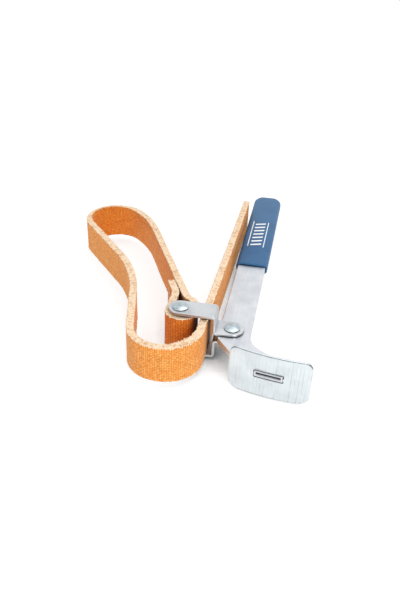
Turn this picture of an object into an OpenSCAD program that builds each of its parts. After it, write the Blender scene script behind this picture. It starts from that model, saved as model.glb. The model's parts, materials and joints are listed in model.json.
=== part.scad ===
/*
  Oil filter wrench of the strap type.

  A flat steel bar carries a vinyl grip at one end and a curved, ribbed shoe at the other.
  Two mirrored joggled links turn on a rivet through the bar. Between their outer ends a
  second rivet with a spacer tube holds the eye of a woven strap. The strap runs out in a
  long loop, comes back through the window between the eye and the link webs, and its free
  end lies along the bar.

  Origin: centre of the grip's flat underside. +Y runs along the bar towards the grip's
  closed end, +X is to the right of the bar seen from above, +Z is up. Millimetres.
  The parts near the links are laid out from the pivot, the axis of the rivet in the bar.
*/

/* [Handle bar] */
// Width of the flat steel bar
bar_w = 20; // [18:0.5:22]
// Thickness of the flat steel bar
bar_t = 4; // [3:0.5:5]
// How far the bar's centreline lies to the right of the pivot
bar_offset = 2.2; // [1:0.2:3]
// Width of the bar's foot where it bears on the shoe
foot_w = 36; // [32:1:38]
// Width of the tongue that goes through the shoe
tongue_w = 17; // [14:0.5:18]
// How far the tongue stands out of the shoe's face
tongue_proud = 0.6; // [0.5:0.1:1.5]

/* [Grip] */
// Distance from the pivot to the grip's mouth
grip_start = 84; // [75:1:95]
// Length of the grip
grip_len = 124; // [100:1:140]
// Width of the grip
grip_w = 23.2; // [23:0.2:26]
// Thickness of the grip
grip_t = 8; // [7:0.5:10]
// Corner radius of the grip's closed end, seen from above
grip_end_r = 10; // [5:0.5:11]
// Radius of the grip's long edges
grip_edge_r = 3; // [1:0.25:3.25]

/* [Shoe] */
// Straight distance between the shoe's two ends
shoe_w = 49.5; // [44:0.5:54]
// Height of the shoe
shoe_h = 30; // [26:0.5:34]
// Thickness of the shoe's sheet
shoe_t = 2; // [1.5:0.25:2.5]
// How far the middle of the face bulges past its ends
shoe_bulge = 2.6; // [2:0.2:4]
// Corner radius of the shoe
shoe_corner = 5.5; // [3:0.5:7]
// How far the shoe is turned from square with the bar, in degrees
shoe_turn = 9; // [5:0.5:12]
// Distance between two ribs of the face
rib_pitch = 2.2; // [1.8:0.1:3]
// Depth of the grooves between the ribs
rib_depth = 0.35; // [0.2:0.05:0.6]

/* [Links and rivets] */
// Distance from the pivot to the strap pin
link_len = 33; // [31:0.5:35]
// Width of a link
link_w = 15; // [13:0.5:16]
// Thickness of a link's sheet
link_t = 1.8; // [1.5:0.1:2]
// Distance from the pivot to the middle of a link's web
web_at = 10.5; // [10:0.1:11]
// How far the links are turned at rest, in degrees
link_turn = 2; // [0:0.5:4]
// Diameter of both rivets' shanks
shank_d = 5; // [4:0.25:5.5]
// Diameter of the rivets' heads
head_d = 10.2; // [9:0.2:11]
// Height of the rivets' heads
head_h = 1.6; // [1.2:0.1:2]
// Outside diameter of the spacer tube on the strap pin
spacer_d = 9.5; // [9:0.1:9.7]

/* [Strap] */
// Width of the strap
strap_w = 25; // [22:0.5:26]
// Thickness of the strap
strap_t = 4.6; // [4:0.1:4.8]
// Length of the doubled-back tail past its bend
tail_len = 10; // [8:0.5:14]
// Length of the straight run from the eye to the far bend
run_len = 92.8; // [82:0.1:94]
// Radius of the loop's far bend
far_r = 21; // [19:0.5:22]
// Radius of the loop's front bend
front_r = 21.5; // [20:0.5:22]
// Length of the free end past the window
free_len = 170; // [120:1:180]
// How far the free end leans towards the bar, in degrees
free_lean = 1; // [0:0.25:1.25]

/* [Hidden] */
$fn = 96;

// Clearances
play = 0.05;              // between pieces that turn or are slid together
eye_play = 0.35;          // between the spacer tube and the strap's eye
strap_gap = 1.2;          // between two lengths of the strap, room for the bend
slot_play = 0.6;          // round the tongue in the shoe's slot
slot_drop = 0.5;          // how far the slot lies below the tongue's middle
edge_play = 1.15;         // between the strap's cut edge and a link's plate
overshoot = 1;            // cutters run this far past what they cut

// Heights, from the bar's middle plane
tab_z = bar_t / 2 + play;                     // underside of a link's tab
link_step = strap_w / 2 + edge_play - tab_z;      // height of a link's joggle
plate_z = tab_z + link_step;                  // underside of a link's outer plate
mid_z = grip_t / 2;                           // the bar's middle plane above the origin

// Plan positions of the bar and shoe, from the pivot
grip_mid = grip_start + grip_len / 2;
bar_left = bar_offset - bar_w / 2;
bar_right = bar_offset + bar_w / 2;
shoe_x = 27.2;                                // middle of the shoe's chord
shoe_y = -33.9;
shoe_drop = 1.2;                              // how far its middle lies below the bar's middle plane
shoe_r = (pow(shoe_w / 2, 2) + pow(shoe_bulge, 2)) / (2 * shoe_bulge);
flare_r = 16;                                 // concave curve from the bar into the foot
flare_turn = 60;                              // how far that curve turns, in degrees
flare_y = -2;                                 // where it starts
heel_y = -9.5;                                // where the bar's other edge starts to slant
foot_past = 8;                                // the foot is drawn this far past the shoe's chord
cap_wall = 2;                                 // vinyl at the grip's closed end
bar_end_r = 6;

// Sheet bends of the links
bend_in = 0.6;
bend_out = bend_in + link_t;

// Strap path. A step is [length, 0] for a straight or [radius, turn] for an arc, and a
// positive turn is to the left. A pose is [x, y, heading]. The eye and the run are laid
// out from the strap pin, and the other lengths from the pivot.
pin = [-link_len * cos(link_turn), -link_len * sin(link_turn), 0];
eye_r = spacer_d / 2 + eye_play + strap_t / 2;
run_start = [eye_r, 0, 90];
tail_start = [-eye_r, 0, 90];
tail_steps = [[16.4, 0], [22, 26], [tail_len, 0]];
tail_apart = 5.2;                             // from the tail's middle to the run's middle
run_steps = [[8.83, 0], [7.4, 58], [14.4, -32], [run_len, 0], [90, 23], [far_r, 86]];
far_steps = [[far_r, 86], [29, 0]];
side_steps = [[22.5, 0], [112, -28], [39, 0], [front_r, 77]];
front_steps = [[front_r, 90], [22.2, 0]];
free_steps = [[free_len, 0]];
far_joint = pin + walk(run_start, run_steps, len(run_steps));
side_joint = walk(far_joint, far_steps, len(far_steps));
front_joint = walk(side_joint, side_steps, len(side_steps));
window_joint = walk(front_joint, front_steps, len(front_steps));
free_start = window_joint - [0, 0, free_lean];
arc_step = 3;                                 // degrees between two points of a bend

// Stitches that hold the tail to the run
thread_r = 0.4;
stitch_rows = [3, 7];                         // distances from the tail's bend
stitch_pitch = 4.5;
stitch_count = 5;

// The pose at the end of one step that starts at pose p
function step_end(p, s) =
  s[1] == 0
    ? [p[0] + s[0] * cos(p[2]), p[1] + s[0] * sin(p[2]), p[2]]
    : let(side = sign(s[1]) * s[0], end = p[2] + s[1])
      [p[0] + side * (sin(end) - sin(p[2])), p[1] - side * (cos(end) - cos(p[2])), end];

// The pose after the first n steps
function walk(p, steps, n) = n == 0 ? p : step_end(walk(p, steps, n - 1), steps[n - 1]);

// The part of a step that covers a length
function part_of(s, length) =
  s[1] == 0 ? [length, 0] : [s[0], sign(s[1]) * length / s[0] * 180 / PI];

// A step with a length taken off it
function less(s, length) =
  s[1] == 0 ? [s[0] - length, 0] : [s[0], s[1] - part_of(s, length)[1]];

// Steps with a length taken off the last one, and off the first one
function cut_last(steps, length) =
  [for (i = [0:len(steps) - 1]) i == len(steps) - 1 ? less(steps[i], length) : steps[i]];
function cut_first(steps, length) =
  [for (i = [0:len(steps) - 1]) i == 0 ? less(steps[i], length) : steps[i]];

// Moves what is laid out from the pivot into the part's frame
module from_pivot() {
  translate([-bar_offset, -grip_mid, mid_z]) children();
}

// Moves what is laid out from the strap pin, square with the bar
module from_pin() {
  from_pivot() translate(pin) children();
}

// Moves what is laid out along a link into place
module on_link() {
  from_pivot() rotate(link_turn) children();
}

// Moves what is laid out on the shoe: X along its chord, -Y out of its face
module on_shoe() {
  from_pivot() translate([shoe_x, shoe_y, 0]) rotate(-shoe_turn) children();
}

// A rectangle centred on the origin with four rounded corners
module rounded_rectangle(w, h, r) {
  square([w - 2 * r, h], center = true);
  square([w, h - 2 * r], center = true);
  for (x = [-1, 1], y = [-1, 1]) {
    translate([x * (w / 2 - r), y * (h / 2 - r)]) circle(r);
  }
}

// A strip from y = 0 to y = len with its two far corners rounded
module round_ended_strip(w, len, r) {
  translate([-w / 2, 0]) square([w, len - r]);
  translate([r - w / 2, 0]) square([w - 2 * r, len]);
  for (x = [-1, 1]) {
    translate([x * (w / 2 - r), len - r]) circle(r);
  }
}

// What is missing between a square corner at the origin and a curve of radius r inside it
module corner_spandrel(r) {
  difference() {
    square(r);
    translate([r, r]) circle(r);
  }
}

// The poses along a list of steps, every few degrees on a bend
function poses(start, steps) = [
  start,
  for (i = [0:len(steps) - 1])
    let(pose = walk(start, steps, i), s = steps[i], n = max(1, ceil(abs(s[1]) / arc_step)))
      for (k = [1:n]) step_end(pose, s[1] == 0 ? s : [s[0], s[1] * k / n])
];

// Points along one side of the strap, at a distance to the left of its middle
function side_points(start, steps, left) =
  [for (p = poses(start, steps)) [p[0] - left * sin(p[2]), p[1] + left * cos(p[2])]];

function reversed(points) = [for (i = [len(points) - 1:-1:0]) points[i]];

// The strap along a list of steps
module strap_along(start, steps) {
  translate([0, 0, -strap_w / 2])
    linear_extrude(height = strap_w)
      polygon(concat(
        side_points(start, steps, -strap_t / 2),
        reversed(side_points(start, steps, strap_t / 2))
      ));
}

// A length of strap that starts at a bend, half the strap gap clear of it
module strap_from_bend(start, steps) {
  half = strap_gap / 2;
  strap_along(step_end(start, part_of(steps[0], half)), cut_first(steps, half));
}

// Places what is drawn across the tail and the run: +X along the tail, the run on -Y
module on_tail() {
  pose = walk(tail_start, tail_steps, 2);
  from_pin() translate([pose[0], pose[1], 0]) rotate(pose[2]) children();
}

// The needle holes or the threads in them
module stitch_bars(r, reach) {
  for (row = stitch_rows, i = [0:stitch_count - 1]) {
    translate([row, reach, (i - (stitch_count - 1) / 2) * stitch_pitch])
      rotate([90, 0, 0])
        cylinder(r = r, h = tail_apart + 2 * reach);
  }
}

// A rivet head standing on z = 0: a short rim with a shallow dome
module rivet_head() {
  rim = head_h / 4;
  dome = head_h - rim;
  dome_r = (pow(head_d / 2, 2) + pow(dome, 2)) / (2 * dome);
  cylinder(d = head_d, h = rim);
  intersection() {
    translate([0, 0, head_h - dome_r]) sphere(dome_r, $fn = 180);
    cylinder(d = head_d, h = head_h);
  }
}

// A rivet with a head at each end of a shank of half length reach
module rivet(reach) {
  translate([0, 0, -reach]) cylinder(d = shank_d, h = 2 * reach);
  for (side = [0, 1]) {
    mirror([0, 0, side]) translate([0, 0, reach]) rivet_head();
  }
}

// A link's outline from above, round about the pivot and the strap pin
module link_plan() {
  circle(d = link_w);
  translate([-link_len, -link_w / 2]) square([link_len, link_w]);
  translate([-link_len, 0]) circle(d = link_w);
}

// A link's joggled section: tab on the bar, web, outer plate
module link_section() {
  inner = web_at - link_t / 2;
  outer = web_at + link_t / 2;
  difference() {
    union() {
      translate([-inner, tab_z]) square([inner + link_w / 2, link_t]);
      translate([-outer, tab_z]) square([link_t, link_step + link_t]);
      translate([-link_len - link_w / 2, plate_z])
        square([link_len + link_w / 2 - outer, link_t]);
      translate([-inner, tab_z + link_t]) corner_spandrel(bend_in);
      translate([-outer, plate_z]) rotate(180) corner_spandrel(bend_in);
    }
    translate([-outer, tab_z]) corner_spandrel(bend_out);
    translate([-inner, plate_z + link_t]) rotate(180) corner_spandrel(bend_out);
  }
}

// The upper of the two mirrored links
module joggled_link() {
  difference() {
    intersection() {
      translate([0, link_w / 2 + overshoot, 0])
        rotate([90, 0, 0])
          linear_extrude(height = link_w + 2 * overshoot)
            link_section();
      linear_extrude(height = plate_z + link_t + overshoot) link_plan();
    }
    for (x = [0, -link_len]) {
      translate([x, 0, 0]) cylinder(d = shank_d + 2 * play, h = plate_z + link_t + overshoot);
    }
  }
}

// The bar and its foot from above, without the tongue
module bar_plan() {
  flare_x = bar_right + flare_r;
  toe_x = shoe_x + foot_w / 2 - 1;
  heel_x = shoe_x - foot_w / 2 - 1;
  flare_end = [flare_x - flare_r * cos(flare_turn), flare_y - flare_r * sin(flare_turn)];
  toe_y = flare_end[1] - (toe_x - flare_end[0]) * tan(90 - flare_turn);
  translate([bar_offset, 0]) round_ended_strip(bar_w, grip_start + grip_len - cap_wall, bar_end_r);
  intersection() {
    difference() {
      polygon([
        [bar_left, overshoot], [bar_left, heel_y], [heel_x, shoe_y + foot_past / 2],
        [heel_x, shoe_y - foot_past], [toe_x, shoe_y - foot_past], [toe_x, toe_y],
        flare_end, [bar_right, flare_y], [bar_right, overshoot]
      ]);
      translate([flare_x, flare_y]) circle(flare_r);
    }
    translate([shoe_x, shoe_y])
      rotate(-shoe_turn)
        translate([0, shoe_r - shoe_bulge])
          circle(shoe_r - shoe_t - play, $fn = 360);
  }
}

module handle_bar() {
  reach = shoe_bulge + tongue_proud;
  groove_inset = 1;
  groove_z = -0.4;
  groove_w = 1.5;
  groove_depth = 2;
  color("gainsboro") difference() {
    union() {
      from_pivot() translate([0, 0, -bar_t / 2]) linear_extrude(height = bar_t) bar_plan();
      on_shoe()
        translate([-tongue_w / 2, -reach, -bar_t / 2])
          cube([tongue_w, reach + shoe_t, bar_t]);
    }
    from_pivot()
      translate([0, 0, -bar_t])
        cylinder(d = shank_d + 2 * play, h = 2 * bar_t);
    // Chisel groove across the tongue's end, which spreads it in the slot
    on_shoe()
      translate([-tongue_w / 2 + groove_inset, -reach - overshoot, groove_z])
        cube([tongue_w - 2 * groove_inset, overshoot + groove_depth, groove_w]);
  }
}

module grip_sleeve() {
  color("steelblue") difference() {
    intersection() {
      translate([0, grip_len / 2, mid_z])
        rotate([90, 0, 0])
          linear_extrude(height = grip_len)
            rounded_rectangle(grip_w, grip_t, grip_edge_r);
      translate([0, -grip_len / 2, 0])
        linear_extrude(height = grip_t)
          round_ended_strip(grip_w, grip_len, grip_end_r);
    }
    translate([0, -grip_len / 2 - overshoot, mid_z - bar_t / 2 - play])
      linear_extrude(height = bar_t + 2 * play)
        round_ended_strip(bar_w + 2 * play, grip_len - cap_wall + overshoot + play, bar_end_r);
  }
}

module shoe_plate() {
  half_angle = asin(shoe_w / 2 / shoe_r);
  rib_angle = rib_pitch / shoe_r * 180 / PI;
  ribs = floor((half_angle - rib_angle / 2) / rib_angle);
  groove_w = 0.6;
  color("whitesmoke") on_shoe() difference() {
    intersection() {
      translate([0, shoe_r - shoe_bulge, -shoe_drop])
        rotate(-90 - half_angle)
          rotate_extrude(angle = 2 * half_angle, $fn = 360)
            translate([shoe_r - shoe_t, -shoe_h / 2])
              square([shoe_t, shoe_h]);
      translate([0, shoe_r, -shoe_drop])
        rotate([90, 0, 0])
          linear_extrude(height = 2 * shoe_r)
            rounded_rectangle(shoe_w, shoe_h, shoe_corner);
    }
    for (i = [-ribs:ribs]) {
      translate([0, shoe_r - shoe_bulge, 0])
        rotate(i * rib_angle)
          translate([-groove_w / 2, -shoe_r - overshoot, -shoe_h])
            cube([groove_w, overshoot + rib_depth, 2 * shoe_h]);
    }
    translate([-tongue_w / 2 - slot_play, -2 * shoe_bulge, -bar_t / 2 - slot_play - slot_drop])
      cube([tongue_w + 2 * slot_play, 4 * shoe_bulge, bar_t + 2 * slot_play]);
  }
}

module upper_link() {
  color("lightgray") on_link() joggled_link();
}

module lower_link() {
  color("silver") on_link() mirror([0, 0, 1]) joggled_link();
}

module pivot_rivet() {
  color("darkgray") on_link() rivet(tab_z + link_t);
}

module strap_pin() {
  color("darkgray") on_link() translate([-link_len, 0, 0]) rivet(plate_z + link_t);
}

module pin_spacer() {
  color("dimgray") on_link() translate([-link_len, 0, -plate_z]) difference() {
    cylinder(d = spacer_d, h = 2 * plate_z);
    translate([0, 0, -overshoot])
      cylinder(d = shank_d + 2 * play, h = 2 * (plate_z + overshoot));
  }
}

module strap_eye_length() {
  color("orange") difference() {
    from_pin() {
      strap_along(tail_start, tail_steps);
      strap_along(run_start, cut_last(run_steps, strap_gap / 2));
      rotate(180)
        rotate_extrude(angle = 180)
          translate([eye_r - strap_t / 2, -strap_w / 2])
            square([strap_t, strap_w]);
    }
    on_tail() stitch_bars(thread_r + play, strap_t);
  }
}

module eye_stitching() {
  face = strap_t / 2 + thread_r;
  bar_len = (stitch_count - 1) * stitch_pitch + 2 * thread_r;
  color("cornsilk") on_tail() {
    stitch_bars(thread_r, face);
    for (row = stitch_rows, y = [face, -tail_apart - face]) {
      translate([row, y, -bar_len / 2]) cylinder(r = thread_r - play, h = bar_len);
    }
  }
}

module strap_far_length() {
  color("darkorange") from_pivot()
    strap_from_bend(far_joint, cut_last(far_steps, strap_gap / 2));
}

module strap_side_length() {
  color("orange") from_pivot()
    strap_from_bend(side_joint, cut_last(side_steps, strap_gap / 2));
}

module strap_front_length() {
  color("darkorange") from_pivot()
    strap_from_bend(front_joint, cut_last(front_steps, strap_gap / 2));
}

module strap_free_length() {
  color("orange") from_pivot() strap_from_bend(free_start, free_steps);
}

handle_bar();
grip_sleeve();
shoe_plate();
upper_link();
lower_link();
pivot_rivet();
strap_pin();
pin_spacer();
strap_eye_length();
eye_stitching();
strap_far_length();
strap_side_length();
strap_front_length();
strap_free_length();
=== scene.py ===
"""Looks of a strap-type oil filter wrench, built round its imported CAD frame.

Shapes are worked out in millimetres, in the frame's own axes: +Y along the bar to the
grip's closed end, +X to the right of the bar, +Z up. make_object() scales them to metres.
"""
import json
import math

import bmesh
import bpy
import numpy as np
from mathutils import Matrix, Vector


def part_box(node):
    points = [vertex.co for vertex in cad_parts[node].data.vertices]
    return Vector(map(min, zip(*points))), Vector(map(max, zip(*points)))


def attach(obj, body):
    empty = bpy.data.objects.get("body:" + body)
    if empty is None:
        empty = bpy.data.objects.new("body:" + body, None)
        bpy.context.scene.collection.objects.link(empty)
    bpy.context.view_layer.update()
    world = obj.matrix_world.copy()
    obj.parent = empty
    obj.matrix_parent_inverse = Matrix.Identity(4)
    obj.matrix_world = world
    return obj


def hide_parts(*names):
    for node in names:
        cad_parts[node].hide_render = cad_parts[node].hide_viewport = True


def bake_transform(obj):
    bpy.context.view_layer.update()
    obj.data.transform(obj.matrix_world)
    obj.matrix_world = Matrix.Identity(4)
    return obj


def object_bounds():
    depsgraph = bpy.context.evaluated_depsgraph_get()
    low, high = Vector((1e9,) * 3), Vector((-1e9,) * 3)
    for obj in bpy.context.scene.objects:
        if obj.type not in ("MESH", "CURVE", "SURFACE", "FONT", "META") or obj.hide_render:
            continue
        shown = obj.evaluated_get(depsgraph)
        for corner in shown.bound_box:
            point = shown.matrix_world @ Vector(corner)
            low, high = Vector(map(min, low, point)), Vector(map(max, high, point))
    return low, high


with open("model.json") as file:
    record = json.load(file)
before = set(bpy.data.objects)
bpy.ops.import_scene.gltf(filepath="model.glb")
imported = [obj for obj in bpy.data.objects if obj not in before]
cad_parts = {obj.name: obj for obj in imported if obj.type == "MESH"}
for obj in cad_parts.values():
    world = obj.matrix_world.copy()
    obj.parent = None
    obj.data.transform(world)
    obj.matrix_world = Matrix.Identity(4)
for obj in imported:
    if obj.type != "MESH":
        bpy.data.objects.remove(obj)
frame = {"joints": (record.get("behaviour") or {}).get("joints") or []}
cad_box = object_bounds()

MM = 0.001

# --------------------------------------------------------------------------- places

JOINTS = {joint["name"]: joint for joint in frame["joints"]}


def joint_place(name):
    """Where a joint is, in millimetres."""
    return np.array(JOINTS[name]["pos_m"]) / MM


def node_box(name):
    """Lowest and highest corners of a CAD node, in millimetres."""
    low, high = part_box(name)
    return np.array(low) / MM, np.array(high) / MM


PIVOT = joint_place("link_swing")
PIN = joint_place("strap_eye_turn")
MID_Z = PIVOT[2]
GRIP_LOW, GRIP_HIGH = node_box("grip_sleeve")
GRIP_X = (GRIP_HIGH[0] + GRIP_LOW[0]) / 2
LINK_TOP = node_box("upper_link")[1][2]
LINK_TURN = math.degrees(math.atan2(PIVOT[1] - PIN[1], PIVOT[0] - PIN[0]))

# Handle bar, from the pivot
BAR_T = 4.0
BAR_LEFT = -7.8
BAR_RIGHT = 12.2
BAR_END = GRIP_HIGH[1] - PIVOT[1] - 2.0
BAR_END_R = 6.0
HEEL_Y = -9.5
HEEL_R = 5.0
FLARE_R = 16.0
FLARE_CORNER_Y = -11.24
FOOT_TOE_X = 44.2
FOOT_TOE_Y = -29.7
FOOT_TOE_R = 1.5
SHEAR_EDGE_R = 0.4

# Shoe, in its own axes: X along the chord, -Y out of the face
SHOE_X = 27.2
SHOE_Y = -33.9
SHOE_TURN = -9.0
SHOE_DROP = 1.2
SHOE_W = 49.5
SHOE_H = 30.0
SHOE_T = 2.0
SHOE_BULGE = 2.6
SHOE_CORNER = 5.5
SHOE_R = ((SHOE_W / 2) ** 2 + SHOE_BULGE ** 2) / (2 * SHOE_BULGE)
RIB_PITCH = 2.2
RIB_DEPTH = 0.35
SCRIBE_DEPTH = 0.2
TONGUE_W = 17.0
TONGUE_REACH = SHOE_BULGE + 0.6
TONGUE_R = 0.5
GROOVE_INSET = 1.0
GROOVE_DEPTH = 2.0
SLOT_PLAY = 0.6
SLOT_DROP = 0.5

# Links and rivets
LINK_LEN = float(np.hypot(*(PIN - PIVOT)[:2]))
LINK_W = 15.0
LINK_T = 1.8
WEB_AT = 10.5
TAB_Z = BAR_T / 2 + 0.05
PLATE_Z = LINK_TOP - MID_Z - LINK_T
BEND_IN = 0.6
SHANK_D = 5.0
HEAD_D = 10.2
HEAD_H = 1.6
SPACER_D = 9.5

# Strap
STRAP_W = 25.0
STRAP_T = 4.6
EYE_R = 7.4
STITCH_PITCH = 4.5

# --------------------------------------------------------------------------- meshes

# How far past its rounding a plate's flat face has one more ring
EDGE_MARGIN = 0.06


def volume_of(mesh):
    """Signed volume of a mesh, to tell whether its faces look outwards."""
    work = bmesh.new()
    work.from_mesh(mesh)
    volume = work.calc_volume(signed=True)
    work.free()
    return volume


def make_object(name, points, faces, material, sharp=40.0):
    """A smooth-shaded object from points in millimetres, with edges over an angle kept sharp."""
    mesh = bpy.data.meshes.new(name)
    mesh.from_pydata((np.asarray(points, float) * MM).tolist(), [], faces)
    mesh.update()
    if volume_of(mesh) < 0:
        mesh.flip_normals()
    mesh.shade_smooth()
    mesh.set_sharp_from_angle(angle=math.radians(sharp))
    mesh.materials.append(material)
    piece = bpy.data.objects.new(name, mesh)
    bpy.context.scene.collection.objects.link(piece)
    return piece


def stand_in(piece, body=None, node=None):
    """Hangs a piece on the body it rides on, and hides the CAD node it stands for."""
    if body:
        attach(piece, body)
    if node:
        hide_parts(node)


def loft_faces(rings, columns, caps=True):
    """Faces of a tube of closed rings, with a flat face on each end if it is capped."""
    faces = []
    last = (rings - 1) * columns
    for here in range(0, last, columns):
        there = here + columns
        for column in range(columns):
            after = (column + 1) % columns
            faces.append((here + column, here + after, there + after, there + column))
    if caps:
        faces.append(tuple(range(columns - 1, -1, -1)))
        faces.append(tuple(range(last, last + columns)))
    return faces


def loft_shape(rings):
    """Points and faces of a closed shape through rings with the same number of points."""
    rings = np.asarray(rings, float)
    return rings.reshape(-1, 3), loft_faces(*rings.shape[:2])


def loft(name, rings, material, sharp=40.0):
    """A closed object through rings of points."""
    return make_object(name, *loft_shape(rings), material, sharp)


def join_shapes(shapes):
    """One list of points and faces from several (points, faces) shapes."""
    points = []
    faces = []
    for shape_points, shape_faces in shapes:
        first = len(points)
        points.extend(np.asarray(shape_points).tolist())
        faces.extend(tuple(first + index for index in face) for face in shape_faces)
    return points, faces


def carve(piece, cutter):
    """Takes the cutter's shape out of the piece, and removes the cutter."""
    cut = piece.modifiers.new("cut", "BOOLEAN")
    cut.object = cutter
    cut.operation = "DIFFERENCE"
    cut.solver = "EXACT"
    depsgraph = bpy.context.evaluated_depsgraph_get()
    carved = bpy.data.meshes.new_from_object(piece.evaluated_get(depsgraph))
    piece.modifiers.remove(cut)
    piece.data = carved
    bpy.data.objects.remove(cutter)


def turned(points, degrees):
    """Plan points turned about the origin."""
    angle = math.radians(degrees)
    turn = np.array([[math.cos(angle), math.sin(angle)], [-math.sin(angle), math.cos(angle)]])
    return np.asarray(points, float) @ turn


def arc(centre, radius, start, end, count):
    """Points on an arc from one angle to another, in degrees, ends included."""
    angles = np.radians(np.linspace(start, end, count))
    return np.column_stack([
        centre[0] + radius * np.cos(angles),
        centre[1] + radius * np.sin(angles),
    ])


def unit(vector):
    """A vector's direction, at a length of 1."""
    return vector / np.linalg.norm(vector)


def extended(points, value):
    """Points with one more coordinate, the same for all of them."""
    return np.column_stack([points, np.full(len(points), value)])


def drawn_in(radius, from_end):
    """How far a rounded edge has drawn in at a distance from the end that it leads to."""
    pull = np.maximum(radius - from_end, 0)
    return radius - np.sqrt(radius ** 2 - pull ** 2)


def fillet(before, corner, after, radius):
    """Points that round off one corner of an outline."""
    corner = np.asarray(corner, float)
    sides = [unit(np.asarray(point, float) - corner) for point in (before, after)]
    half = math.acos(np.clip(sides[0] @ sides[1], -1, 1)) / 2
    centre = corner + unit(sides[0] + sides[1]) * radius / math.sin(half)
    touches = [corner + side * radius / math.tan(half) - centre for side in sides]
    start, end = (math.atan2(y, x) for x, y in touches)
    sweep = (end - start + math.pi) % (2 * math.pi) - math.pi
    count = max(3, int(abs(math.degrees(sweep)) / 7.5) + 2)
    return arc(centre, radius, math.degrees(start), math.degrees(start + sweep), count)


def outline(corners):
    """A closed outline from (x, y, radius) corners."""
    points = []
    for index, (x, y, radius) in enumerate(corners):
        before = corners[index - 1][:2]
        after = corners[(index + 1) % len(corners)][:2]
        if radius > 0:
            points.extend(fillet(before, (x, y), after, radius))
        else:
            points.append((x, y))
    return np.asarray(points, float)


def inset(points, distance):
    """A closed outline moved inwards by a distance; the outline runs anticlockwise."""
    ahead = np.roll(points, -1, axis=0) - points
    ahead /= np.linalg.norm(ahead, axis=1)[:, None]
    normal = np.column_stack([-ahead[:, 1], ahead[:, 0]])
    before = np.roll(normal, 1, axis=0)
    mitre = (normal + before) / (1 + np.sum(normal * before, axis=1))[:, None]
    return points + mitre * distance


def anticlockwise(points):
    """The same outline, running anticlockwise."""
    x, y = points[:, 0], points[:, 1]
    area = np.sum(x * np.roll(y, -1) - np.roll(x, -1) * y)
    return points if area > 0 else points[::-1]


def rectangle(low, high, radius):
    """The outline of a rectangle with rounded corners, from two of its corners."""
    return outline([(low[0], low[1], radius), (high[0], low[1], radius),
                    (high[0], high[1], radius), (low[0], high[1], radius)])


def edge_profile(thickness, radius):
    """(inset, height) pairs that go round a plate's edge from its bottom to its top.

    The first and last pair lie just inside the flat faces, so that the rounding's shading
    stays off them.
    """
    angles = np.radians(np.linspace(0, 90, 4))
    lower = [(radius * (1 - math.sin(a)), radius * (1 - math.cos(a))) for a in angles]
    upper = [(gap, thickness - height) for gap, height in reversed(lower)]
    flat = radius + EDGE_MARGIN
    return [(flat, 0.0)] + lower + upper + [(flat, thickness)]


def plate_rings(points, bottom, thickness, radius):
    """Rings of a flat plate with rounded edges, from its outline in plan."""
    points = anticlockwise(points)
    return [extended(inset(points, gap), bottom + height)
            for gap, height in edge_profile(thickness, radius)]


def smoothstep(low, high, value):
    """0 below low, 1 above high, and a smooth rise between."""
    share = np.clip((value - low) / (high - low), 0, 1)
    return share * share * (3 - 2 * share)


def value_noise(u, v, table):
    """Smooth noise from a table of random numbers, one unit per table entry."""
    low_u = np.floor(u).astype(int)
    low_v = np.floor(v).astype(int)
    share_u = smoothstep(0, 1, u - low_u)
    share_v = smoothstep(0, 1, v - low_v)
    rows, columns = table.shape

    def between(row):
        near = table[row % rows, low_v % columns]
        far = table[row % rows, (low_v + 1) % columns]
        return near * (1 - share_v) + far * share_v
    return between(low_u) * (1 - share_u) + between(low_u + 1) * share_u


def random_table(seed, rows, columns):
    """Random numbers from 0 to 1, the same in each run."""
    return np.random.RandomState(seed).rand(rows, columns)


# --------------------------------------------------------------------------- materials

# What the webbing's colour is multiplied by for painted shade with orange bounce light, inside the
# far bend and round the outside of the eye
BOUNCE_SHADE_TINT = (0.88, 0.67, 0.28, 1)


def srgb(red, green, blue):
    """A colour given as 0 to 255 on screen, as the linear values that shaders use."""
    def linear(value):
        share = value / 255
        return share / 12.92 if share <= 0.04045 else ((share + 0.055) / 1.055) ** 2.4
    return (linear(red), linear(green), linear(blue), 1.0)


class Nodes:
    """A node tree, with short calls for the nodes that are used most."""

    def __init__(self, tree):
        self.tree = tree

    def node(self, kind, inputs=None, **settings):
        """A new node, with its inputs linked or set."""
        made = self.tree.nodes.new(kind)
        for key, value in settings.items():
            setattr(made, key, value)
        for key, value in (inputs or {}).items():
            self.feed(made.inputs[key], value)
        return made

    def feed(self, socket, value):
        """Links a socket to another one, or sets its value."""
        if isinstance(value, bpy.types.NodeSocket):
            self.tree.links.new(value, socket)
        else:
            socket.default_value = value

    def span(self, value, low, high, to_low=0.0, to_high=1.0, kind="LINEAR"):
        """A value between low and high, moved to between to_low and to_high."""
        inputs = {0: value, 1: low, 2: high, 3: to_low, 4: to_high}
        return self.node("ShaderNodeMapRange", inputs, interpolation_type=kind).outputs[0]

    def math(self, operation, first, second):
        """The result of an operation on two values."""
        return self.node("ShaderNodeMath", {0: first, 1: second}, operation=operation).outputs[0]

    def dot(self, first, second):
        """How far two directions agree, up to 1."""
        inputs = {0: first, 1: second}
        made = self.node("ShaderNodeVectorMath", inputs, operation="DOT_PRODUCT")
        return made.outputs["Value"]


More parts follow.
